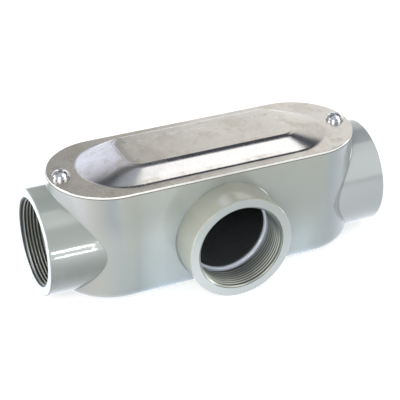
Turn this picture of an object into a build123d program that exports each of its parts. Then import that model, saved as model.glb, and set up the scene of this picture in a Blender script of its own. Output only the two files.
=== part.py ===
from build123d import *
from math import radians, tan
import os

# A conduit body of the T form for 2 inch rigid conduit, in millimetres.
# One painted casting carries three threaded hubs, and a pressed steel cover closes it on a gasket.
# +X runs along the body, the branch hub points to -Y and the cover faces +Z.
# The origin is on the flat back, under the crossing of the hub axes.

# Threaded bore of each hub, with the integral stop that the conduit's end meets
bore_radius = 29.7
bore_depth = 20.7
mouth_chamfer = 0.4
stop_lip = 2.8
stop_thickness = 3.0
stop_round = 1.0

# Hubs: two along the body and one branch, all of one size
hub_wall = 6.3
hub_draft = 0.3
hub_mouth_round = 0.8
hub_root_fillet = 0.4
run_projection = 12.75
branch_projection = 22.05

# Oblong box between the hubs
straight_length = 136.9
hub_to_side = 3.45
hub_to_back = 0.4
bore_to_rim = 12.4
wall_draft = 0.4
back_edge_radius = 10.0
side_wall = 3.4
back_wall = 3.8
cavity_edge_radius = 6.0

# Cover screws and the bosses that take them
screw_inset = 8.6
shank_radius = 2.7
shank_grip = 7.4
shank_tip_chamfer = 0.7
tapped_clearance = 0.06
tapped_depth = 8.6
drill_point_angle = 59.0
boss_radius = 5.2
boss_sink = 1.9

# Gasket
gasket_thickness = 0.5
gasket_inset = 0.4
gasket_width = 5.1
gasket_lobe_radius = 6.4

# Cover, with a raised panel that falls steeply to the sides and gently to the ends
cover_thickness = 1.5
cover_inset = 0.25
cover_edge_round = 0.45
cover_hole_clearance = 0.35
flange_side_width = 7.15
flange_end_width = 20.1
panel_height = 8.0
side_slope_width = 11.8
end_slope_length = 28.8
end_slope_spread = 35.4
plateau_corner_radius = 9.0
panel_ridge_round = 4.5
panel_foot_round = 4.0

# Washer and screw head
washer_radius = 6.1
washer_thickness = 1.2
washer_clearance = 0.25
washer_edge_chamfer = 0.2
head_radius = 5.5
head_height = 3.6
head_rim_height = 0.7
slot_width = 1.3
slot_depth = 1.2
cross_reach = 3.1
cross_depth = 2.0
left_head_turn = 20.0
right_head_turn = 75.0

# Sizes that follow
hub_radius = bore_radius + hub_wall
hub_axis_height = hub_radius + hub_to_back
stop_radius = bore_radius - stop_lip
body_width = 2 * (hub_radius + hub_to_side)
box_length = straight_length + body_width
rim_height = hub_axis_height + bore_radius + bore_to_rim
screw_place = box_length / 2 - screw_inset
tapped_radius = shank_radius + tapped_clearance
hole_radius = shank_radius + cover_hole_clearance
gasket_top = rim_height + gasket_thickness
cover_top = gasket_top + cover_thickness
washer_top = cover_top + washer_thickness
panel_width = body_width - 2 * flange_side_width
panel_straight = box_length - 2 * flange_end_width - panel_width
plateau_width = panel_width - 2 * side_slope_width
plateau_length = panel_straight + panel_width - 2 * end_slope_length
cut_past = 1.0
level_tolerance = 0.01

# Each hub: the reach of its face from the crossing, its turn from +X, and where it starts in the box
run_reach = box_length / 2 + run_projection
branch_reach = body_width / 2 + branch_projection
hubs = {
    "right": (run_reach, 0.0, straight_length / 2),
    "left": (run_reach, 180.0, straight_length / 2),
    "branch": (branch_reach, -90.0, body_width / 2 - back_edge_radius),
}


def oblong(width, height, thickness, taper=0.0):
    """A plate or block of the body's outline: two round ends joined by straight sides."""
    outline = SlotCenterToCenter(straight_length, width)
    return Pos(0, 0, height) * extrude(outline, amount=thickness, taper=taper)


def at_screws(solid):
    """The same solid at the left and the right cover screw."""
    return [Pos(-screw_place, 0, 0) * solid, Pos(screw_place, 0, 0) * solid]


def at_hub(turn, solid):
    """A solid made along +X, turned to its hub and raised to the hub axes."""
    return Pos(0, 0, hub_axis_height) * Rot(0, 0, turn) * solid


def turned(points, rounded=None):
    """A solid turned about the X axis from a half outline, with one corner rounded if asked."""
    outline = make_face(Polyline(*points, close=True))
    if rounded:
        corner, radius = rounded
        nearest = outline.vertices().sort_by_distance((*corner, 0))[0]
        outline = fillet(nearest, radius)
    return revolve(outline, axis=Axis.X)


def hub_blank(reach, inner_end):
    """The outside of one hub, narrowing towards its face, solid from an inner end to the face."""
    inner_radius = hub_radius + (reach - inner_end) * tan(radians(hub_draft))
    outline = [(inner_end, 0), (inner_end, inner_radius), (reach, hub_radius), (reach, 0)]
    return turned(outline, rounded=((reach, hub_radius), hub_mouth_round))


def hub_bore(reach, inner_end):
    """The space inside one hub: its mouth, the thread's wall, the stop's hole and the way into the box."""
    stop_face = reach - bore_depth
    stop_back = stop_face - stop_thickness
    mouth_radius = bore_radius + mouth_chamfer
    outline = [
        (inner_end, 0),
        (inner_end, stop_radius + stop_round),
        (stop_back, stop_radius + stop_round),
        (stop_back + stop_round, stop_radius),
        (stop_face, stop_radius),
        (stop_face, bore_radius),
        (reach - mouth_chamfer, bore_radius),
        (reach, mouth_radius),
        (reach + cut_past, mouth_radius),
        (reach + cut_past, 0),
    ]
    return turned(outline, rounded=((stop_face, stop_radius), stop_round))


def screw_boss():
    """A boss under the rim, with a cone at its foot where it grows out of the hub's end."""
    root_height = hub_axis_height + hub_radius - boss_sink
    shaft_length = rim_height - root_height
    shaft = Pos(0, 0, root_height + shaft_length / 2) * Cylinder(boss_radius, shaft_length)
    foot = Pos(0, 0, root_height - boss_radius / 2) * Cone(0, boss_radius, boss_radius)
    return shaft + foot


def tapped_hole():
    """The blind hole of one cover screw, with the drill's point at its end."""
    point_length = tapped_radius / tan(radians(drill_point_angle))
    bottom = rim_height - tapped_depth
    wall = Pos(0, 0, bottom + (tapped_depth + cut_past) / 2)
    wall = wall * Cylinder(tapped_radius, tapped_depth + cut_past)
    point = Pos(0, 0, bottom - point_length / 2) * Cone(0, tapped_radius, point_length)
    return wall + point


def body_casting():
    """The one-piece casting: the oblong box with its three hubs, stops and screw bosses."""
    back_width = body_width - 2 * rim_height * tan(radians(wall_draft))
    box = oblong(back_width, 0, rim_height, taper=-wall_draft)
    box = fillet(box.faces().sort_by(Axis.Z)[0].edges(), back_edge_radius)
    blanks = [at_hub(turn, hub_blank(reach, start)) for reach, turn, start in hubs.values()]
    outside = split(box + blanks, bisect_by=Plane.XY)
    roots = new_edges(box, *blanks, combined=outside)
    roots = roots.filter_by(lambda edge: edge.bounding_box().max.Z > hub_root_fillet)
    outside = fillet(roots, hub_root_fillet)

    inner_width = back_width - 2 * side_wall
    cavity = oblong(inner_width, back_wall, rim_height - back_wall + cut_past, taper=-wall_draft)
    cavity = fillet(cavity.faces().sort_by(Axis.Z)[0].edges(), cavity_edge_radius)
    for reach, turn, start in hubs.values():
        cavity = cavity - at_hub(turn, hub_blank(reach, reach - bore_depth - stop_thickness))
    cavity = cavity - at_screws(screw_boss())

    bores = [at_hub(turn, hub_bore(reach, start)) for reach, turn, start in hubs.values()]
    return outside - cavity - bores - at_screws(tapped_hole())


def cover_gasket():
    """A flat rubber ring on the rim, with a lobe round each screw."""
    outer_width = body_width - 2 * gasket_inset
    ring = oblong(outer_width, rim_height, gasket_thickness)
    inner_width = outer_width - 2 * gasket_width
    opening = oblong(inner_width, rim_height - cut_past, gasket_thickness + 2 * cut_past)
    middle = Pos(0, 0, rim_height + gasket_thickness / 2)
    lobes = at_screws(middle * Cylinder(gasket_lobe_radius, gasket_thickness))
    ring = ring - (opening - lobes)
    hole = Cylinder(hole_radius, gasket_thickness + 2 * cut_past)
    return ring - at_screws(middle * hole)


def edges_at(solid, height):
    """The edges that lie level at one height."""
    return solid.edges().filter_by(
        lambda edge: abs(edge.bounding_box().min.Z - height) < level_tolerance
        and abs(edge.bounding_box().max.Z - height) < level_tolerance
    )


def panel_foot(height):
    """The raised panel's outline where it leaves the flange, in the eight parts of panel_top."""
    radius = panel_width / 2
    centre = panel_straight / 2
    spread = end_slope_spread
    corner = 90 - spread
    edges = [
        Line((-centre, -radius), (centre, -radius)),
        CenterArc((centre, 0), radius, -90, corner),
        CenterArc((centre, 0), radius, -spread, 2 * spread),
        CenterArc((centre, 0), radius, spread, corner),
        Line((centre, radius), (-centre, radius)),
        CenterArc((-centre, 0), radius, 90, corner),
        CenterArc((-centre, 0), radius, 180 - spread, 2 * spread),
        CenterArc((-centre, 0), radius, 180 + spread, corner),
    ]
    return Pos(0, 0, height) * Wire(edges)


def panel_top(height):
    """The plateau's outline: a rectangle with rounded corners."""
    radius = plateau_corner_radius
    end = plateau_length / 2
    side = plateau_width / 2
    x = end - radius
    y = side - radius
    edges = [
        Line((-x, -side), (x, -side)),
        CenterArc((x, -y), radius, -90, 90),
        Line((end, -y), (end, y)),
        CenterArc((x, y), radius, 0, 90),
        Line((x, side), (-x, side)),
        CenterArc((-x, y), radius, 90, 90),
        Line((-end, y), (-end, -y)),
        CenterArc((-x, -y), radius, 180, 90),
    ]
    return Pos(0, 0, height) * Wire(edges)


def raised_panel(height):
    """The panel's block: steep along the sides, with a long gentle slope at each end."""
    top = height + panel_height
    block = Solid.make_loft([panel_foot(height), panel_top(top)], ruled=True)
    return fillet(edges_at(block, top), panel_ridge_round)


def cover_plate():
    """The cover, pressed from one sheet: a flat flange and a raised panel, hollow underneath."""
    flange = oblong(body_width - 2 * cover_inset, gasket_top, cover_thickness)
    flange = fillet(edges_at(flange, cover_top), cover_edge_round)
    panel = raised_panel(cover_top)
    cover = flange + panel
    foot = edges_at(cover, cover_top).filter_by(
        lambda edge: edge.bounding_box().size.Y < panel_width + cover_thickness
        and abs(edge.center().Y) < panel_width / 2 + cover_thickness
    )
    cover = fillet(foot, panel_foot_round)
    cover = cover - raised_panel(gasket_top)
    middle = Pos(0, 0, gasket_top + cover_thickness / 2)
    hole = Cylinder(hole_radius, cover_thickness + 2 * cut_past)
    return cover - at_screws(middle * hole)


def screw_washer():
    """A flat washer under a screw head."""
    disc = Cylinder(washer_radius, washer_thickness)
    disc = chamfer(disc.edges().group_by(Axis.Z)[-1], washer_edge_chamfer)
    disc = disc - Cylinder(shank_radius + washer_clearance, washer_thickness + 2 * cut_past)
    return Pos(0, 0, cover_top + washer_thickness / 2) * disc


def cover_screw(turn):
    """A domed head screw with a slot and a cross in its head, seated on its washer."""
    tip = rim_height - shank_grip - washer_top
    crown = TangentArc((0, head_height), (head_radius, head_rim_height), tangent=(1, 0))
    outline = crown + Polyline(
        (0, head_height),
        (0, tip),
        (shank_radius - shank_tip_chamfer, tip),
        (shank_radius, tip + shank_tip_chamfer),
        (shank_radius, 0),
        (head_radius, 0),
        (head_radius, head_rim_height),
    )
    screw = revolve(Plane.XZ * make_face(outline), axis=Axis.Z)
    slot = Pos(0, 0, head_height) * Box(2 * head_radius + cut_past, slot_width, 2 * slot_depth)
    along = Box(2 * cross_reach, slot_width, 2 * cross_depth)
    across = Box(slot_width, 2 * cross_reach, 2 * cross_depth)
    recess = slot + Pos(0, 0, head_height) * (along + across)
    return Pos(0, 0, washer_top) * Rot(0, 0, turn) * (screw - recess)


left_washer, right_washer = at_screws(screw_washer())
left_screw = at_screws(cover_screw(left_head_turn))[0]
right_screw = at_screws(cover_screw(right_head_turn))[1]

pieces = {
    "body_casting": body_casting(),
    "cover_gasket": cover_gasket(),
    "cover_plate": cover_plate(),
    "left_screw_washer": left_washer,
    "right_screw_washer": right_washer,
    "left_cover_screw": left_screw,
    "right_cover_screw": right_screw,
}

os.makedirs("parts", exist_ok=True)
for name, solid in pieces.items():
    export_step(solid, f"parts/{name}.step")
    print(name, round(solid.volume), "mm3")
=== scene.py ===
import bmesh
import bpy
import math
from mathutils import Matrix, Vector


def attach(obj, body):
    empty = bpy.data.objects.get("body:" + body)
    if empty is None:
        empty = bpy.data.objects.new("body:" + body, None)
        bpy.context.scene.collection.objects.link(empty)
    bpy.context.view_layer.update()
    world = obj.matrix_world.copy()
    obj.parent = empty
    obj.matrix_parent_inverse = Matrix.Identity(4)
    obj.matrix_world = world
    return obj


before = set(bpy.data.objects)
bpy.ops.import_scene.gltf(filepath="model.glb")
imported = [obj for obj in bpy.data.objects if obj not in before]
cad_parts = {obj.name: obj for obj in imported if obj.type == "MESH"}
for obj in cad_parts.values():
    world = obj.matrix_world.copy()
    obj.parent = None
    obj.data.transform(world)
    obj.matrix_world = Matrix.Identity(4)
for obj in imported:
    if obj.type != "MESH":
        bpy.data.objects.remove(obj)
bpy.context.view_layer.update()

# %% [markdown]
# # A conduit body with a pressed cover
# The object is a T-form pull box for 2 inch rigid conduit. One casting in glossy light grey enamel
# carries three threaded hubs. A cover pressed from bare sheet steel closes it on a thin brownish
# rubber gasket, and two zinc plated screws with washers hold the cover down. The solids come ready
# from the CAD model, in metres and in their places. This file gives each of them its finish, cuts
# the pipe threads that the solids leave plain, and sets up floor, light and camera.

mm = 0.001
print("nodes:", sorted(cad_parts))

# %% [markdown]
# ## Sums on sockets
# A finish is mostly arithmetic on masks: where is this point, how far from the edge, how much
# grime. Adding Math nodes by hand hides that arithmetic. Here a socket is wrapped in a small class,
# so a sum written in Python adds its own nodes, and `1 - mask` works because the reflected
# operators are there too. Everything that isn't a sum comes from one method that takes the node's
# type, its settings and what its sockets hold.


# %% The wrapped socket
class Wire:
    """An output of a node. Sums written with it become Math nodes."""

    def __init__(self, finish, socket):
        self.finish = finish
        self.socket = socket

    def math(self, operation, *values):
        settings = {"operation": operation}
        return self.finish.node("ShaderNodeMath", settings, dict(enumerate(values)))

    def __add__(self, other):
        return self.math("ADD", self, other)

    def __radd__(self, other):
        return self.math("ADD", other, self)

    def __sub__(self, other):
        return self.math("SUBTRACT", self, other)

    def __rsub__(self, other):
        return self.math("SUBTRACT", other, self)

    def __mul__(self, other):
        return self.math("MULTIPLY", self, other)

    def __rmul__(self, other):
        return self.math("MULTIPLY", other, self)

    def __truediv__(self, other):
        return self.math("DIVIDE", self, other)

    def __abs__(self):
        return self.math("ABSOLUTE", self)


print("sums on sockets: +, -, *, / and abs")


# %% The maker of finishes
class Finish:
    """A node tree for one surface finish, or for the world."""

    def __init__(self, name, tree=None):
        if tree is None:
            self.material = bpy.data.materials.new(name)
            self.material.use_nodes = True
            tree = self.material.node_tree
        tree.nodes.clear()
        self.name = name
        self.tree = tree

    def node(self, kind, settings=None, sockets=None, out=0):
        """Adds a node, sets it up, fills its sockets and gives back one of its outputs."""
        made = self.tree.nodes.new(kind)
        for key, value in (settings or {}).items():
            if key == "stops":
                ramp = made.color_ramp
                while len(ramp.elements) < len(value):
                    ramp.elements.new(0.5)
                for element, (place, colour) in zip(ramp.elements, value):
                    element.position = place
                    element.color = colour
            else:
                setattr(made, key, value)
        for key, value in (sockets or {}).items():
            if isinstance(value, Wire):
                self.tree.links.new(value.socket, made.inputs[key])
            else:
                made.inputs[key].default_value = value
        return Wire(self, made.outputs[out]) if made.outputs else None

    def blend(self, mask, first, second):
        """A colour that goes from the first to the second as the mask goes from 0 to 1."""
        # A Mix node has one pair of inputs and one output for each kind of data. The colours are
        # inputs 6 and 7, and the blended colour is output 2.
        sockets = {0: mask, 6: first, 7: second}
        return self.node("ShaderNodeMix", {"data_type": "RGBA"}, sockets, out=2)

    def ramp(self, value, stops):
        """A colour read from a row of stops, each a place between 0 and 1 and a colour."""
        return self.node("ShaderNodeValToRGB", {"stops": stops}, {"Fac": value})

    def step(self, value, low, high):
        """0 below low, 1 above high, and a soft rise between."""
        settings = {"interpolation_type": "SMOOTHSTEP"}
        sockets = {"Value": value, "From Min": low, "From Max": high}
        return self.node("ShaderNodeMapRange", settings, sockets)

    def until(self, value, low, high):
        """1 below low, 0 above high, and a soft fall between."""
        return 1 - self.step(value, low, high)

    def noise(self, place, scale, detail=2.0, roughness=0.5):
        """Cloudy noise between 0 and 1."""
        sockets = {"Vector": place, "Scale": scale, "Detail": detail, "Roughness": roughness}
        return self.node("ShaderNodeTexNoise", None, sockets)

    def lengths(self, spot):
        """The three lengths of a place or direction along the axes."""
        return [self.node("ShaderNodeSeparateXYZ", None, {0: spot}, out=axis) for axis in "XYZ"]

    def place(self):
        """Where a point is in the shared frame."""
        return self.node("ShaderNodeTexCoord", out="Object")

    def stretch(self, place, factors, turn):
        """The place scaled by a factor along each axis, for marks that run one way."""
        sockets = {"Vector": place, "Rotation": (0.0, 0.0, turn), "Scale": factors}
        return self.node("ShaderNodeMapping", None, sockets)

    def bumps(self, height, distance, strength, under=None):
        """A normal that leans with a height between 0 and 1, of the given real depth in metres."""
        sockets = {"Height": height, "Distance": distance, "Strength": strength}
        if under is not None:
            sockets["Normal"] = under
        return self.node("ShaderNodeBump", None, sockets)

    def cover_with(self, **sockets):
        """Ends the tree with the surface shader. Names use _ for a space."""
        values = {key.replace("_", " "): value for key, value in sockets.items()}
        shader = self.node("ShaderNodeBsdfPrincipled", None, values)
        self.node("ShaderNodeOutputMaterial", None, {"Surface": shader})
        print("finish", self.name, "uses", len(self.tree.nodes), "nodes")
        return self.material


print("a finish can blend, ramp, step, make noise, stretch and bump")

# %% [markdown]
# ## The sizes that the finishes and threads need
# A finish that knows the shape can do more than one that doesn't: the inside is painted dark as
# painted shade, a cut edge is bright, partly as painted highlight, and a thread's root is painted
# dark as painted shade. So the few sizes of the CAD model that matter here are named once, in
# metres. A few small helpers turn a point's place into distances from them.

# %% Sizes from the CAD model
hub_axis_height = 36.4 * mm
run_reach = 120.65 * mm
branch_reach = 61.5 * mm
bore_radius = 29.7 * mm
bore_depth = 20.7 * mm
mouth_chamfer = 0.4 * mm
stop_thickness = 3.0 * mm
hub_radius = 36.0 * mm
straight_half = 68.45 * mm
body_half_width = 39.45 * mm
cover_top = 80.5 * mm
plateau_half_length = 59.0 * mm
plateau_half_width = 20.5 * mm
plateau_corner_radius = 9.0 * mm
screw_place = 99.3 * mm
print("crossing of the hub axes is", hub_axis_height, "above the back")


# %% Distances
def larger(first, second):
    """The larger of two values, of which the first is a wire."""
    return first.math("MAXIMUM", first, second)


def length_of(across, up):
    """The slanting side over two sides at right angles, of which the first is a wire."""
    return across.math("SQRT", across * across + up * up)


def past(value, edge):
    """How far a value lies past an edge, and 0 before it."""
    return larger(value - edge, 0.0)


def from_long_middle(x, y):
    """Distance from the line that the oblong outline is drawn round."""
    return length_of(past(abs(x), straight_half), y)


print("the body's outline lies", body_half_width, "from its middle line")

# %% [markdown]
# ## Floor and backdrop
# The object stands on a plain pale floor. A matt white plane under soft light comes out as pale
# grey, so part of its brightness is given for camera and mirror rays only: that makes the sheet as
# white as a studio sweep, sends no extra light on to the object, and still lets the contact shadow
# through. What glossy enamel mirrors of the sheet is a touch bluer than what the camera sees of it.
# The body's upright walls show that mirrored sheet more than anything else, so its tone sets
# theirs.


# %% The floor
def studio_floor(half_width, whiteness, glow, mirrored_glow):
    bpy.ops.mesh.primitive_plane_add(size=2 * half_width, location=(0, 0, 0))
    floor = bpy.context.object
    floor.name = "studio_floor"
    finish = Finish("floor_paper")
    seen = finish.node("ShaderNodeLightPath", out="Is Camera Ray")
    mirrored = finish.node("ShaderNodeLightPath", out="Is Glossy Ray")
    through = finish.node("ShaderNodeLightPath", out="Is Transmission Ray")
    paper = (whiteness, whiteness, whiteness, 1)
    white = finish.node("ShaderNodeBsdfDiffuse", None, {"Color": paper})
    glowing = finish.node("ShaderNodeEmission", None, {"Color": (glow, glow, glow, 1)})
    gleaming = finish.node("ShaderNodeEmission", None, {"Color": mirrored_glow})
    shown = finish.node("ShaderNodeMixShader", None, {0: mirrored, 1: glowing, 2: gleaming})
    lit = finish.node("ShaderNodeAddShader", None, {0: white, 1: shown})
    direct = seen.math("MINIMUM", seen + mirrored + through, 1.0)
    both = finish.node("ShaderNodeMixShader", None, {0: direct, 1: white, 2: lit})
    finish.node("ShaderNodeOutputMaterial", None, {"Surface": both})
    floor.data.materials.append(finish.material)
    print("the floor is", 2 * half_width, "m wide")


studio_floor(half_width=6.0, whiteness=0.60, glow=0.66, mirrored_glow=(0.92, 0.98, 1.08, 1))

# %% [markdown]
# ## The room that the metal mirrors
# Bare metal shows little but the room. The cover's flat top mirrors what lies low behind it, its
# near slope mirrors what is almost overhead, and the soft bends between them sweep over the part of
# the ceiling in between. A dark strip of ceiling there draws the dark lines along the panel's
# edges. So the world is a plain room, written by angle: `over` runs from the wall behind the object
# (0) over the ceiling (0.5) to the wall in front (1), and `way_x` from left (-1) to right (1). The
# real room isn't in the photo. These tones, one row over the ceiling and one along the wall behind,
# were tried until the cover's reflections fell as they do there, and under other light they will
# fall elsewhere.

# %% Tones over the ceiling and along the wall behind
ceiling_tones = [
    (0.00, (0.74, 0.76, 0.77, 1)),
    (0.22, (0.80, 0.80, 0.80, 1)),
    (0.28, (0.20, 0.20, 0.21, 1)),
    (0.33, (0.03, 0.04, 0.07, 1)),
    (0.45, (0.03, 0.04, 0.07, 1)),
    (0.50, (0.14, 0.15, 0.17, 1)),
    (0.74, (0.16, 0.18, 0.20, 1)),
    (0.84, (0.34, 0.38, 0.40, 1)),
    (1.00, (0.80, 0.86, 0.88, 1)),
]
behind_tones = [
    (0.00, (0.36, 0.35, 0.30, 1)),
    (0.43, (0.36, 0.35, 0.30, 1)),
    (0.48, (1.30, 1.35, 1.60, 1)),
    (0.54, (1.40, 1.47, 1.75, 1)),
    (0.60, (0.37, 0.368, 0.350, 1)),
    (0.64, (0.42, 0.41, 0.355, 1)),
    (0.68, (1.22, 1.20, 1.16, 1)),
    (0.80, (1.12, 1.10, 1.04, 1)),
    (1.00, (0.86, 0.86, 0.86, 1)),
]
left_side_tone = (1.02, 1.02, 1.06, 1)
right_side_tone = (0.98, 0.96, 0.94, 1)
haze_tone = (0.50, 0.54, 0.60, 1)
print(len(ceiling_tones), "tones over the ceiling,", len(behind_tones), "along the wall behind")

# %% The walls of the room
world = bpy.data.worlds.new("room")
world.use_nodes = True
bpy.context.scene.world = world
room = Finish("room", world.node_tree)
way_x, way_y, way_z = room.lengths(room.node("ShaderNodeTexCoord", out="Generated"))
over = way_z.math("ARCTAN2", way_z, way_y) / math.pi
low_behind = room.until(over, 0.21, 0.30)
ceiling = room.ramp(over, ceiling_tones)
walls = room.blend(low_behind, ceiling, room.ramp((way_x + 1) / 2, behind_tones))
sides = room.blend(room.step(way_x, -0.2, 0.2), left_side_tone, right_side_tone)
aside = larger(0 - way_x, way_x - 0.22 * (1 - low_behind))
walls = room.blend(room.step(aside, 0.55, 0.8), walls, sides)
haze = room.step(over, 0.350, 0.42) * room.until(way_x, 0.10, 0.26)
walls = room.blend(haze * (1 - low_behind), walls, haze_tone)
print("the walls use", len(room.tree.nodes), "nodes")

# %% [markdown]
# A big softbox is part of that room, from just past the zenith to the front. It is a little dimmer
# overhead, so that the near slope shows white without clipping. It reaches lower on the right,
# where the right hub mirrors its foot as a pale band with a soft lower edge. A camera ray sees
# plain white instead of the room.

# %% The softbox in the room
box_overhead = (1.95, 1.95, 1.97, 1)
box_in_front = (2.40, 2.40, 2.45, 1)
backdrop_white = (1.0, 1.0, 1.0, 1.0)
across_box = room.step(way_x, 0.08, 0.24) * room.until(way_x, 0.62, 0.72)
at_right = room.step(way_x, 0.33, 0.40)
box_foot = room.until(over, 0.66 + 0.27 * at_right, 0.76 + 0.20 * at_right)
along_box = room.step(over, 0.497, 0.508) * box_foot
box_tone = room.blend(room.step(over, 0.58, 0.66), box_overhead, box_in_front)
walls = room.blend(across_box * along_box, walls, box_tone)
seen = room.node("ShaderNodeLightPath", out="Is Camera Ray")
shade = room.blend(seen, walls, backdrop_white)
glow = room.node("ShaderNodeBackground", None, {"Color": shade, "Strength": 1.0})
room.node("ShaderNodeOutputWorld", None, {"Surface": glow})
print("the whole room uses", len(room.tree.nodes), "nodes")

# %% [markdown]
# ## Lamps
# The room lights the object softly from all round, and the lamps only add what it lacks. A large
# window on the left makes that end of the body the brightest, a key lamp on the left lights the
# rims, and a small window on the right does the same for the far end. Three narrow strips low in
# front of the left hub make its sharp double streak: one line above, one below, and a short piece
# that joins them at the right. The lower ones stand nearer, because further off they would sink
# into the floor.

# %% A lamp that looks at a point
body_middle = (0.0, 0.0, 0.06)
left_hub_middle = (-0.12, 0.0, 0.036)
white_light = (1.0, 1.0, 1.0)
cool_light = (0.94, 0.95, 1.0)
warm_light = (1.0, 0.97, 0.90)


def softbox(name, way, distance, size, power, aim=body_middle, colour=white_light):
    """A rectangular lamp of a width and height in metres, some way off the point that it lights."""
    light = bpy.data.lights.new(name, "AREA")
    light.shape = "RECTANGLE"
    light.size, light.size_y = size
    light.energy = power
    light.color = colour
    lamp = bpy.data.objects.new(name, light)
    bpy.context.scene.collection.objects.link(lamp)
    way = Vector(way).normalized()
    lamp.location = Vector(aim) + way * distance
    lamp.rotation_euler = way.to_track_quat("Z", "Y").to_euler()
    lamp.visible_camera = False
    print(name, "hangs at", [round(v, 2) for v in lamp.location])


# %% The windows and the key lamp
softbox("left_window", (-1.00, 0.25, 0.15), 1.8, (1.0, 1.0), power=30.0, colour=cool_light)
softbox("left_key", (-0.594, -0.626, 0.482), 1.3, (0.60, 0.60), power=4.2, colour=warm_light)
softbox("right_window", (0.99, -0.10, 0.04), 1.4, (0.36, 0.36), power=5.5)

# %% The strips for the left hub's streak
for name, way, distance, size, power in (
    ("upper_strip", (0.256, -0.965, 0.046), 0.35, (0.032, 0.027), 0.076),
    ("lower_strip", (0.286, -0.953, -0.094), 0.168, (0.0300, 0.0078), 0.0200),
    ("strip_end", (0.357, -0.934, -0.006), 0.171, (0.0009, 0.033), 0.0021),
):
    softbox(name, way, distance, size, power, aim=left_hub_middle)

# %% [markdown]
# ## Painted casting
# The body looks like an aluminium casting in glossy grey enamel. Such enamel isn't a flat colour up
# close: it has a faint orange peel, follows the slightly rough skin of the casting, and a few
# specks of dust sit in it. An image can't know which side of a wall is the inside, or which part
# was machined, but the shape does. So this finish starts with masks worked out from the point's
# place: the hollow box, the hubs' bores, the walls that the tap cut, the hubs' faced ends and the
# bushing stops.


# %% Masks on the casting
def hub_masks(finish, x, y, z):
    """1 in the hub bores, on the wall that the tap cut, on the faced ends and on the stops."""
    rise = z - hub_axis_height
    stop_end = bore_depth + stop_thickness
    inside, walls, faces, stops = [], [], [], []
    for along, across, reach in ((abs(x), y, run_reach), (0 - y, x, branch_reach)):
        radius = length_of(across, rise)
        depth = reach - along
        near_axis = finish.until(radius, bore_radius + 0.38 * mm, bore_radius + 0.42 * mm)
        in_hub = finish.until(depth, stop_end, stop_end + 0.3 * mm)
        cut = finish.step(radius, bore_radius - 0.5 * mm, bore_radius - 0.2 * mm)
        past_mouth = finish.step(depth, 0.05 * mm, 0.15 * mm)
        short_of_stop = finish.until(depth, bore_depth, bore_depth + 0.3 * mm)
        at_mouth = finish.until(depth, 0.04 * mm, 0.12 * mm)
        at_stop = finish.step(depth, bore_depth - 0.2 * mm, bore_depth - 0.1 * mm)
        inside.append(near_axis * in_hub)
        walls.append(near_axis * cut * past_mouth * short_of_stop)
        faces.append(at_mouth * in_hub)
        stops.append(at_stop * near_axis * in_hub)
    return [larger(*pair) for pair in (inside, walls, faces, stops)]


def inside_box(finish, outline, z):
    """1 on the walls and floor of the hollow, with its border halfway through the metal."""
    core_inset = 10.5 * mm
    core_height = 10.0 * mm
    past_side = past(outline, body_half_width - core_inset)
    below = larger(core_height - z, 0.0)
    return finish.until(length_of(past_side, below), 7.6 * mm, 8.6 * mm)


print("masks: inside, tapped, faced and stops")

# %% [markdown]
# ## The enamel's tones
# Along the front the enamel's grey drifts by place, and the drift is painted reflection of the room
# that the gloss mirrored, and painted light: warm at the left end, cool beside the branch hub,
# darker high up at the left, paler low down right of the branch, and warmer on the branch hub. The
# left hub is painted darker on its low side, as painted shade. The tones were changed until renders
# measured like the photo. That is a stand-in and tells nothing about the real paint: under other
# light it stays where it is. The far side is hidden in the photo and has one even grey. The hubs'
# faced ends are plainer and paler, the branch hub's face is painted paler low down and darker high
# up as painted light and shade, and the bushing stops inside them are painted paler still, as
# painted light.

# %% Painted light and reflection along the front, from the left hub's face to the right hub's
front_painted_light_tones = [
    (0.08, (0.470, 0.470, 0.465, 1)),
    (0.13, (0.405, 0.400, 0.350, 1)),
    (0.24, (0.213, 0.277, 0.297, 1)),
    (0.31, (0.470, 0.585, 0.650, 1)),
    (0.38, (0.500, 0.600, 0.665, 1)),
    (0.49, (0.180, 0.235, 0.310, 1)),
    (0.72, (0.210, 0.275, 0.290, 1)),
    (0.86, (0.240, 0.270, 0.268, 1)),
]
high_left_painted_shade = (0.060, 0.085, 0.115, 1)
low_right_painted_light = (0.700, 0.860, 0.920, 1)
far_side_grey = (0.300, 0.335, 0.332, 1)
left_hub_lit_grey, left_hub_shaded_grey = (0.325, 0.352, 0.318, 1), (0.120, 0.135, 0.110, 1)
right_hub_grey = (0.400, 0.428, 0.418, 1)
print(len(front_painted_light_tones), "tones along the front")


# %% The enamel's grey and painted light by place
def grey_and_painted_light_by_place(finish, x, y, z, rise, from_run):
    """The enamel's grey over the box, with painted light and reflection along the front, and the
    end hubs' greys, the left one with painted shade low down.
    """
    # painted light and reflection along the front, read from a ramp along the body
    grey = finish.ramp((x + run_reach) / (2 * run_reach), front_painted_light_tones)
    # painted shade: darker high up at the left
    at_left = finish.step(x, -108 * mm, -62 * mm) * finish.until(x, -35 * mm, -10 * mm)
    high_left = at_left * finish.step(z, 42 * mm, 66 * mm)
    grey = finish.blend(high_left * 0.5, grey, high_left_painted_shade)
    # painted light: paler low down right of the branch hub
    right_of_branch = finish.step(x, 25 * mm, 50 * mm) * finish.until(x, 52 * mm, 80 * mm)
    low_right = right_of_branch * finish.until(z, 12 * mm, 50 * mm)
    grey = finish.blend(low_right * 0.8, grey, low_right_painted_light)
    grey = finish.blend(finish.step(y, -12 * mm, 6 * mm) * 0.85, grey, far_side_grey)
    # painted shade: the left hub is darker on its low side
    low_side = finish.until(rise, -12 * mm, 14 * mm)
    left_hub_lit_and_shaded = finish.blend(low_side, left_hub_lit_grey, left_hub_shaded_grey)
    hub_grey = finish.blend(finish.step(x, -20 * mm, 20 * mm), left_hub_lit_and_shaded, right_hub_grey)
    on_hub = finish.until(from_run, 0.2 * mm, 0.6 * mm) * finish.step(abs(x), 80 * mm, 84 * mm)
    return finish.blend(on_hub, grey, hub_grey)


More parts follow.
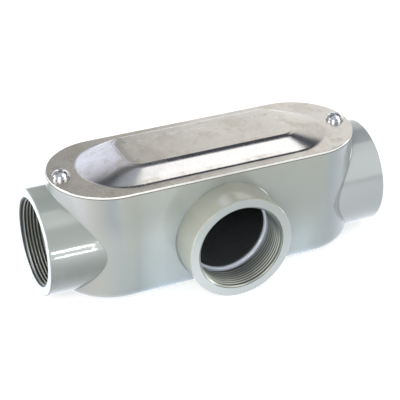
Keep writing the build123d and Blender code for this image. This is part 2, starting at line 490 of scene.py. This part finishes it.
def greys_and_painted_light_of_ends(finish, colour, x, y, rise, faced, on_stop):
    """Gives the faced ends, the branch hub's barrel and the bushing stops greys of their own:
    painted light and shade on the branch hub's face, painted warm light on its barrel, and paler
    stops as painted light.
    """
    low_face_lit, high_face_shaded = (0.560, 0.590, 0.575, 1), (0.370, 0.395, 0.355, 1)
    end_face = (0.480, 0.500, 0.505, 1)
    branch_painted_warm_light = (0.390, 0.380, 0.285, 1)
    stop_painted_light = (0.700, 0.740, 0.830, 1)
    # painted light and shade: the branch hub's face is paler low down and darker high up
    branch_face_lit_and_shaded = finish.blend(finish.step(rise, -26 * mm, 30 * mm), low_face_lit, high_face_shaded)
    face = finish.blend(finish.step(abs(x), 60 * mm, 70 * mm), branch_face_lit_and_shaded, end_face)
    colour = finish.blend(faced * 0.85, colour, face)
    # painted warm light on the branch hub's barrel
    on_branch = finish.step(0 - y, body_half_width - 1.0 * mm, body_half_width + 0.5 * mm)
    colour = finish.blend(on_branch * (1 - faced) * 0.85, colour, branch_painted_warm_light)
    # painted light: the bushing stops are paler and bluer than the enamel
    return finish.blend(on_stop, colour, stop_painted_light)


print("grey by place, then the ends, the branch barrel and the stops")

# %% [markdown]
# ## Painted shade, dust and gloss
# A dark line of painted shade runs in the crease round a hub's root, faintest on top of the branch
# hub. The inside of the box hardly shows; it and the plain walls of the bores are painted near
# black as painted shade, matt over the rough skin of the casting. A clear coat gives the enamel
# outside its sharp highlights, and three bumps under it stand for the coarse sand skin, the orange
# peel and the bare skin inside.

# %% Painted shade in the creases
drift_grey = (0.420, 0.436, 0.405, 1)
patch_grey = (0.350, 0.385, 0.380, 1)
speck_grey = (0.17, 0.17, 0.16, 1)
crease_painted_shade = (0.110, 0.112, 0.100, 1)
inside_shade_dark, inside_shade_light = (0.040, 0.044, 0.048, 1), (0.085, 0.090, 0.092, 1)


def creases(finish, x, y, outline, rise, from_run):
    """1 in the crease round the root of the branch hub and of the right hub, where painted shade
    goes.
    """

    def root_line(distance):
        return finish.until(abs(distance - 0.45 * mm), 0.25 * mm, 0.75 * mm)

    fainter = 0.6 * finish.step(rise, 0.0, 20 * mm)
    at_front = finish.step(0 - y, 20 * mm, 30 * mm)
    at_branch = root_line(length_of(x, rise) - hub_radius) * at_front * (1 - fainter)
    at_run = root_line(from_run) * finish.step(x, 75 * mm, 80 * mm)
    at_wall = finish.until(outline, body_half_width + 0.3 * mm, body_half_width + 0.8 * mm)
    return larger(at_branch, at_run) * at_wall


# the crease mask puts painted shade this far from the hubs' axes
print("dirt gathers", hub_radius, "from the hubs' axes")


# %% Enamel over a cast skin
def painted_casting():
    finish = Finish("painted_casting")
    spot = finish.place()
    x, y, z = finish.lengths(spot)
    rise = z - hub_axis_height
    outline = from_long_middle(x, y)
    from_run = length_of(y, rise) - hub_radius
    in_hub, tapped, faced, on_stop = hub_masks(finish, x, y, z)
    hollow = inside_box(finish, outline, z) * (1 - in_hub)
    # the hollow and the plain bore walls: matt, and near black as painted shade
    matt_and_shaded = larger(hollow, tapped)

    drift = finish.step(finish.noise(spot, 9.0, 3.0), 0.35, 0.65)
    patch = finish.noise(spot, 34.0, 4.0, 0.6)
    grey = grey_and_painted_light_by_place(finish, x, y, z, rise, from_run)
    colour = finish.blend(drift * 0.25, grey, drift_grey)
    colour = finish.blend(finish.step(patch, 0.42, 0.75) * 0.22, colour, patch_grey)
    to_grain = finish.node("ShaderNodeTexVoronoi", None, {"Vector": spot, "Scale": 260.0})
    thinned = finish.step(finish.noise(spot, 60.0), 0.55, 0.62)
    specks = finish.until(to_grain, 0.05, 0.11) * thinned
    colour = finish.blend(specks * 0.5, colour, speck_grey)
    colour = greys_and_painted_light_of_ends(finish, colour, x, y, rise, faced, on_stop)
    # painted shade in the creases, varied by the patch noise
    crease_shade = creases(finish, x, y, outline, rise, from_run) * (0.45 + 0.4 * patch)
    colour = finish.blend(crease_shade, colour, crease_painted_shade)
    skin = finish.noise(spot, 420.0, 4.0, 0.6)
    # painted shade: the inside of the box and the plain bore walls go near black
    colour = finish.blend(matt_and_shaded, colour, finish.blend(skin, inside_shade_dark, inside_shade_light))

    smudge = finish.noise(spot, 22.0, 5.0, 0.65)
    gloss = 0.20 + 0.10 * smudge + 0.15 * specks
    coarse = finish.noise(spot, 160.0, 3.0)
    peel = finish.noise(spot, 650.0, 2.0)
    relief = finish.bumps(coarse, 0.04 * mm, 0.5)
    relief = finish.bumps(peel, 0.015 * mm, 0.35, under=relief)
    relief = finish.bumps(skin * hollow, 0.25 * mm, 0.8, under=relief)
    return finish.cover_with(
        Base_Color=colour,
        Roughness=gloss + 0.4 * matt_and_shaded,
        Coat_Weight=1 - matt_and_shaded,
        Coat_Roughness=0.05,
        Normal=relief,
    )


enamel = painted_casting()

# %% [markdown]
# ## Pipe thread in each hub
# The thread of 2 inch conduit has 11.5 turns to the inch and narrows by 1 in 16. It could be a bump
# in the finish, but a bump has no outline, and these turns are seen edge on at the mouth. A screw
# modifier would give a straight thread. So the mesh's points are laid out one by one: its rows run
# along the helix, four to a turn, where root and crest begin and end. A row that would leave the
# hub is held at the hub's end, and a cone cuts the crests back at the mouth. The thread ends a
# little short of the stop, in the plain relief where the tap runs out.

# %% The shape of the thread
pitch = 25.4 * mm / 11.5
taper = 1 / 32  # of the radius, which is 1 in 16 of the diameter
first_root_radius = bore_radius - 0.04 * mm
crest_height = 1.30 * mm
relief_width = 2.4 * mm
profile = [(0.00, 0.0), (0.10, 0.0), (0.50, 1.0), (0.60, 1.0)]
steps_round = 128
print("thread pitch", round(pitch / mm, 3), "mm")


def thread_radius(depth, share):
    """Radius of the thread's wall at a depth from the face, for a share 0 at root to 1 at crest."""
    root = first_root_radius - depth * taper
    mouth_cone = bore_radius + mouth_chamfer - depth
    return max(root - crest_height * share, min(root, mouth_cone))


def share_at(turns):
    """How far from root to crest the profile stands, at a number of turns."""
    part = turns % 1.0
    corners = profile + [(1.0, 0.0)]
    for (a, low), (b, high) in zip(corners, corners[1:]):
        if a <= part <= b:
            return low + (high - low) * (part - a) / (b - a)
    return 0.0


# %% [markdown]
# ## Cut threads
# Such hubs are tapped after casting, so their threads show bare grey metal. The roots look nearly
# black in the photo, and here they are painted near black as painted shade. The point's place tells
# how deep it lies in the thread: its distance from the hub's axis. In the branch hub the photo's
# crests are dark too, far in and high up, and painted shade is laid on them there, because the
# shade of the render alone left them too light. The first turn at the mouth of the end hubs is
# painted dark as painted shade too.

# %% Bare metal of the threads
crest_dark, crest_light = (0.36, 0.37, 0.32, 1), (0.56, 0.57, 0.50, 1)
first_turn_shade = (0.13, 0.14, 0.13, 1)
shaded_crest = (0.045, 0.062, 0.064, 1)
shaded_root = (0.016, 0.018, 0.017, 1)


def cut_thread():
    finish = Finish("cut_thread")
    spot = finish.place()
    x, y, z = finish.lengths(spot)
    rise = z - hub_axis_height
    on_run = x.math("GREATER_THAN", abs(x), 60.0 * mm)
    on_branch = 1 - on_run
    radius = length_of(on_run * abs(y) + on_branch * abs(x), rise)
    deep = larger(on_run * (run_reach - abs(x)), on_branch * (branch_reach + y))
    untapered = radius + deep * taper
    root = finish.step(untapered, bore_radius - 1.25 * mm, bore_radius - 0.45 * mm)
    root = root * finish.step(deep, 1.3 * mm, 2.3 * mm)
    wear = finish.noise(spot, 180.0, 4.0, 0.6)
    crest = finish.blend(wear, crest_dark, crest_light)
    # painted shade: the first turn at the mouth of the end hubs goes dark
    first_turn = finish.until(deep, 1.5 * mm, 3.5 * mm) * on_run
    crest = finish.blend(first_turn, crest, first_turn_shade)
    # painted shade: the branch hub's crests darken far in and high up
    high_up = finish.step(rise, -6 * mm, 10 * mm) * finish.step(deep, 0.5 * mm, 3 * mm)
    deep_shade = larger(finish.step(deep, 4 * mm, 14 * mm) * 0.7, high_up * 0.95)
    crest = finish.blend(deep_shade * on_branch, crest, shaded_crest)
    # painted shade: the thread's roots go near black
    colour = finish.blend(root * 0.92, crest, shaded_root)
    chatter = finish.noise(spot, 900.0, 2.0)
    return finish.cover_with(
        Base_Color=colour,
        Metallic=0.6 * (1 - root),
        Roughness=0.30 + 0.25 * root + 0.15 * wear,
        Normal=finish.bumps(chatter, 0.02 * mm, 0.4),
    )


thread_metal = cut_thread()

# %% [markdown]
# ## The sleeves
# Each thread is the inside of a closed sleeve, whose outer wall lies just inside the casting. The
# sleeve is made column by column round the hub. Where the last column meets the first, the helix
# has gained a turn, so the rows there are joined one turn further on.

# %% Columns and faces of a sleeve
thread_start = mouth_chamfer
thread_end = bore_depth - relief_width
sleeve_radius = bore_radius + 0.05 * mm
turns = math.ceil((thread_end - thread_start) / pitch) + 1
rows = [lap + place for lap in range(turns + 1) for place, share in profile]
last_row = len(rows) - 1
print("a sleeve has", len(rows), "rows and", steps_round, "columns")


def thread_column(put, lead, angle):
    """One column of the thread, where the helix leads by part of a turn, and its outer wall."""
    line = []
    for row in rows:
        depth = min(thread_end, max(thread_start, thread_start + (row - 1 + lead) * pitch))
        share = share_at((depth - thread_start) / pitch - lead)
        line.append(put(depth, angle, thread_radius(depth, share)))
    near = put(thread_start, angle, sleeve_radius)
    return line, near, put(thread_end, angle, sleeve_radius)


def join_columns(mesh, here, there, shift):
    """The faces between two columns, of which the second is a number of rows further on."""
    line, near, far = here
    next_line, near_next, far_next = there
    for row in range(last_row):
        low = next_line[min(last_row, row + shift)]
        high = next_line[min(last_row, row + 1 + shift)]
        corners = [line[row], line[row + 1], high, low]
        if low is high:
            corners.pop()
        mesh.faces.new(corners)
    mesh.faces.new([near, near_next, far_next, far])
    mesh.faces.new([near, line[0], next_line[min(last_row, shift)], near_next])
    mesh.faces.new([far, far_next, next_line[last_row], line[last_row]])


# %% The sleeve of a hub
sharp_edge = math.radians(28)
same_point = 0.001 * mm


def hub_thread(name, face, inward, begins=0.0):
    """A closed sleeve with the thread inside, from the mouth's chamfer to the relief."""
    face = Vector(face)
    inward = Vector(inward)
    up = Vector((0, 0, 1))
    side = up.cross(inward)
    mesh = bmesh.new()

    def put(depth, angle, radius):
        outward = side * math.cos(angle) + up * math.sin(angle)
        return mesh.verts.new(face + inward * depth + outward * radius)

    columns = []
    for column in range(steps_round):
        lead = column / steps_round
        columns.append(thread_column(put, lead, begins + 2 * math.pi * lead))
    for here, there in zip(columns, columns[1:]):
        join_columns(mesh, here, there, 0)
    join_columns(mesh, columns[-1], columns[0], len(profile))
    bmesh.ops.remove_doubles(mesh, verts=mesh.verts, dist=same_point)
    bmesh.ops.recalc_face_normals(mesh, faces=mesh.faces)
    data = bpy.data.meshes.new(name)
    mesh.to_mesh(data)
    mesh.free()
    data.shade_smooth()
    data.set_sharp_from_angle(angle=sharp_edge)
    data.materials.append(thread_metal)
    sleeve = bpy.data.objects.new(name, data)
    bpy.context.scene.collection.objects.link(sleeve)
    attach(sleeve, "casting")
    print(name, "has", len(data.polygons), "faces")


hub_thread("right_hub_thread", (run_reach, 0, hub_axis_height), (-1, 0, 0))
hub_thread("left_hub_thread", (-run_reach, 0, hub_axis_height), (1, 0, 0), begins=math.pi)
hub_thread("branch_hub_thread", (0, -branch_reach, hub_axis_height), (0, 1, 0))

# %% [markdown]
# ## Pressed cover
# The cover looks like bare rolled sheet, stamped in one stroke. Its surface is a fine mottle of
# lighter and darker grains, with brownish stains, paler patches and short scratches, mostly along
# one direction. In the photo the panel's near slope is almost free of stains and its flat has
# fewer, so they fade there. Why they do isn't known. The cut edge is clean bare metal, and its
# bright cream is partly painted highlight. Along the panel's ridges a shallow bump softens the
# bend, as a press leaves it, and more so at the ends, where the slopes are flatter. The flat top of
# the panel stays bare and plain.


# %% Where the stains fade, and the bends
def stain_left(finish, x, y):
    """How much of the stains is left: little on the near slope, and less on the flat."""
    near = finish.step(0 - y, 20.5 * mm, 21.5 * mm) * finish.until(0 - y, 28.5 * mm, 30.0 * mm)
    near_slope = near * finish.until(abs(x), 66 * mm, 74 * mm)
    on_flat = finish.until(abs(x), 56 * mm, 60 * mm) * finish.until(abs(y), 19 * mm, 21 * mm)
    return (1 - 0.95 * near_slope) * (1 - 0.40 * on_flat)


def ridge_bumps(finish, x, y):
    """Softens the bend along the panel's sides, and over a wider stretch at its ends."""
    side_bend = 2.2 * mm
    end_bend = 6.0 * mm
    blunt = 0.6 * mm
    past_end = past(abs(x), plateau_half_length - plateau_corner_radius)
    past_side = past(abs(y), plateau_half_width - plateau_corner_radius)
    to_corner = length_of(past_end, past_side)
    never_zero = to_corner + 0.01 * mm
    off_ridge = to_corner - plateau_corner_radius
    beside = finish.step(abs(off_ridge) / side_bend, 0.0, 1.0)
    relief = finish.bumps(beside * (past_side / never_zero), 0.24 * mm, 1.0)
    near_end = larger(1 - length_of(off_ridge, blunt) / end_bend, 0.0)
    sunk = near_end * near_end * (past_end / never_zero)
    return finish.bumps(1 - sunk, 0.42 * mm, 1.0, under=relief)


print("the panel's flat is", 2 * plateau_half_length, "by", 2 * plateau_half_width)

# %% Rolled steel
steel_dark, steel_light = (0.505, 0.492, 0.472, 1), (0.685, 0.677, 0.662, 1)
cut_edge_and_painted_highlight = (0.86, 0.84, 0.77, 1)


def pressed_steel():
    finish = Finish("pressed_steel")
    spot = finish.place()
    x, y, z = finish.lengths(spot)
    mottle = finish.noise(spot, 520.0, 3.0, 0.7)
    cloud = finish.noise(spot, 26.0, 5.0, 0.6)
    stain = finish.step(finish.noise(spot, 17.0, 6.0, 0.7), 0.48, 0.62)
    blotch = finish.step(finish.noise(spot, 95.0, 5.0, 0.65), 0.50, 0.66)
    pale = finish.step(finish.noise(spot, 48.0, 5.0, 0.6), 0.54, 0.64)
    streaks = finish.noise(finish.stretch(spot, (14.0, 240.0, 60.0), 0.1), 1.0, 3.0)
    hairs = finish.noise(finish.stretch(spot, (60.0, 2600.0, 400.0), 0.35), 1.0)
    scratch = finish.step(hairs, 0.70, 0.76)
    left = stain_left(finish, x, y)
    colour = finish.blend(mottle, steel_dark, steel_light)
    for mark, tone in (
        (finish.step(cloud, 0.40, 0.60) * 0.50 * left, (0.46, 0.435, 0.40, 1)),
        (stain * 0.40 * left, (0.40, 0.35, 0.27, 1)),
        (blotch * 0.50 * left, (0.38, 0.33, 0.265, 1)),
        (pale * 0.30 * left, (0.74, 0.71, 0.70, 1)),
        (scratch * 0.5, (0.80, 0.80, 0.80, 1)),
    ):
        colour = finish.blend(mark, colour, tone)
    outline = from_long_middle(x, y)
    # the cut edge: bare metal, with a painted highlight in bright, mostly non-metal cream
    cut = finish.step(outline, body_half_width - 0.60 * mm, body_half_width - 0.30 * mm)
    cut = cut * finish.until(z, cover_top - 0.45 * mm, cover_top - 0.25 * mm)
    colour = finish.blend(cut, colour, cut_edge_and_painted_highlight)
    relief = ridge_bumps(finish, x, y)
    relief = finish.bumps(mottle, 0.008 * mm, 0.5, under=relief)
    relief = finish.bumps(cloud, 0.20 * mm, 0.25, under=relief)
    return finish.cover_with(
        Base_Color=colour,
        Metallic=1 - 0.85 * cut,
        Roughness=0.17 + 0.08 * mottle + 0.08 * stain + 0.06 * streaks + 0.15 * cut,
        Normal=relief,
    )


steel = pressed_steel()

# %% [markdown]
# ## Zinc plated screws and washers
# Bright zinc on small turned parts is lively: low roughness, a slight blue, and fine marks where
# the parts rubbed in the plating barrel. The screws' shanks carry a thread that shows when the
# cover is lifted. It is too small and too hidden for geometry, so it is a bump along a helix about
# the screw's axis.

# %% Bright zinc
screw_pitch = 1.27 * mm
zinc_dark, zinc_light = (0.70, 0.71, 0.72, 1), (0.84, 0.84, 0.84, 1)
shank_root_shade = (0.20, 0.20, 0.21, 1)


def screw_thread(finish, colour, relief, centre, lengths):
    """Adds the thread's bumps and painted shade in its roots to the shank, up to the underside of
    the head.
    """
    x, y, z = lengths
    angle = x.math("ARCTAN2", y, x - centre) / (2 * math.pi)
    wave = x.math("PINGPONG", z / screw_pitch - angle, 0.5) * 2
    on_shank = finish.until(z, cover_top - 1.6 * mm, cover_top - 1.0 * mm)
    relief = finish.bumps(wave * on_shank, 0.45 * mm, 1.0, under=relief)
    # painted shade in the roots of the screw's thread
    return finish.blend(on_shank * (1 - wave) * 0.7, colour, shank_root_shade), relief


def zinc(name, roughness, centre=None):
    """Bright zinc, with a thread round the axis at a centre along the body, if one is given."""
    finish = Finish(name)
    spot = finish.place()
    rub = finish.noise(spot, 700.0, 4.0, 0.7)
    cloud = finish.noise(spot, 160.0, 3.0)
    colour = finish.blend(cloud, zinc_dark, zinc_light)
    relief = finish.bumps(rub, 0.01 * mm, 0.4)
    if centre is not None:
        colour, relief = screw_thread(finish, colour, relief, centre, finish.lengths(spot))
    rough = roughness + 0.12 * rub
    return finish.cover_with(Base_Color=colour, Metallic=1.0, Roughness=rough, Normal=relief)


left_zinc = zinc("left_screw_zinc", 0.10, centre=-screw_place)
right_zinc = zinc("right_screw_zinc", 0.10, centre=screw_place)
washer_zinc = zinc("washer_zinc", 0.16)

# %% [markdown]
# ## Gasket
# The photo shows only a fine dark line under the cover's edge. It is taken for a gasket cut from
# thin rubber sheet. Its brownish grey, the grain of cut rubber and the grey dust are guesses. The
# raised cover bares all of it.

# %% Sheet rubber
rubber_dark, rubber_light = (0.150, 0.132, 0.112, 1), (0.230, 0.205, 0.175, 1)
dust_grey = (0.16, 0.155, 0.145, 1)


def gasket_rubber():
    finish = Finish("gasket_rubber")
    spot = finish.place()
    grain = finish.noise(spot, 800.0, 3.0)
    dust = finish.step(finish.noise(spot, 240.0, 4.0, 0.7), 0.55, 0.8)
    colour = finish.blend(grain, rubber_dark, rubber_light)
    colour = finish.blend(dust * 0.3, colour, dust_grey)
    relief = finish.bumps(grain, 0.04 * mm, 0.6)
    return finish.cover_with(Base_Color=colour, Roughness=0.62 + 0.25 * grain, Normal=relief)


rubber = gasket_rubber()

# %% [markdown]
# ## Dressing the CAD pieces
# The solids keep their own meshes. Each gets its finish in its material slots, which changes
# nothing of its shape.

# %% Finishes on the nodes
finishes = {
    "body_casting": enamel,
    "cover_gasket": rubber,
    "cover_plate": steel,
    "left_screw_washer": washer_zinc,
    "right_screw_washer": washer_zinc,
    "left_cover_screw": left_zinc,
    "right_cover_screw": right_zinc,
}
for name, finish in finishes.items():
    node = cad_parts[name]
    if not node.data.materials:
        node.data.materials.append(finish)
    for slot in node.material_slots:
        slot.material = finish
    print(name, "has", len(node.data.polygons), "faces and", len(node.material_slots), "slots")

# %% [markdown]
# ## Camera
# The view was found by fitting the model's outline to the object: a long lens, high on the left,
# that looks along the body so that the branch hub comes towards the viewer.

# %% The camera
lens = bpy.data.cameras.new("view")
lens.sensor_width = 36.0
lens.lens = 120.2419
camera = bpy.data.objects.new("view", lens)
camera.location = (-0.3183052, -0.7151001, 0.4999872)
camera.rotation_euler = (1.038893533, 0.000756836, -0.416595691)
bpy.context.scene.collection.objects.link(camera)
bpy.context.scene.camera = camera
bpy.context.scene.view_settings.view_transform = "Standard"
print("camera at", [round(v, 3) for v in camera.location])
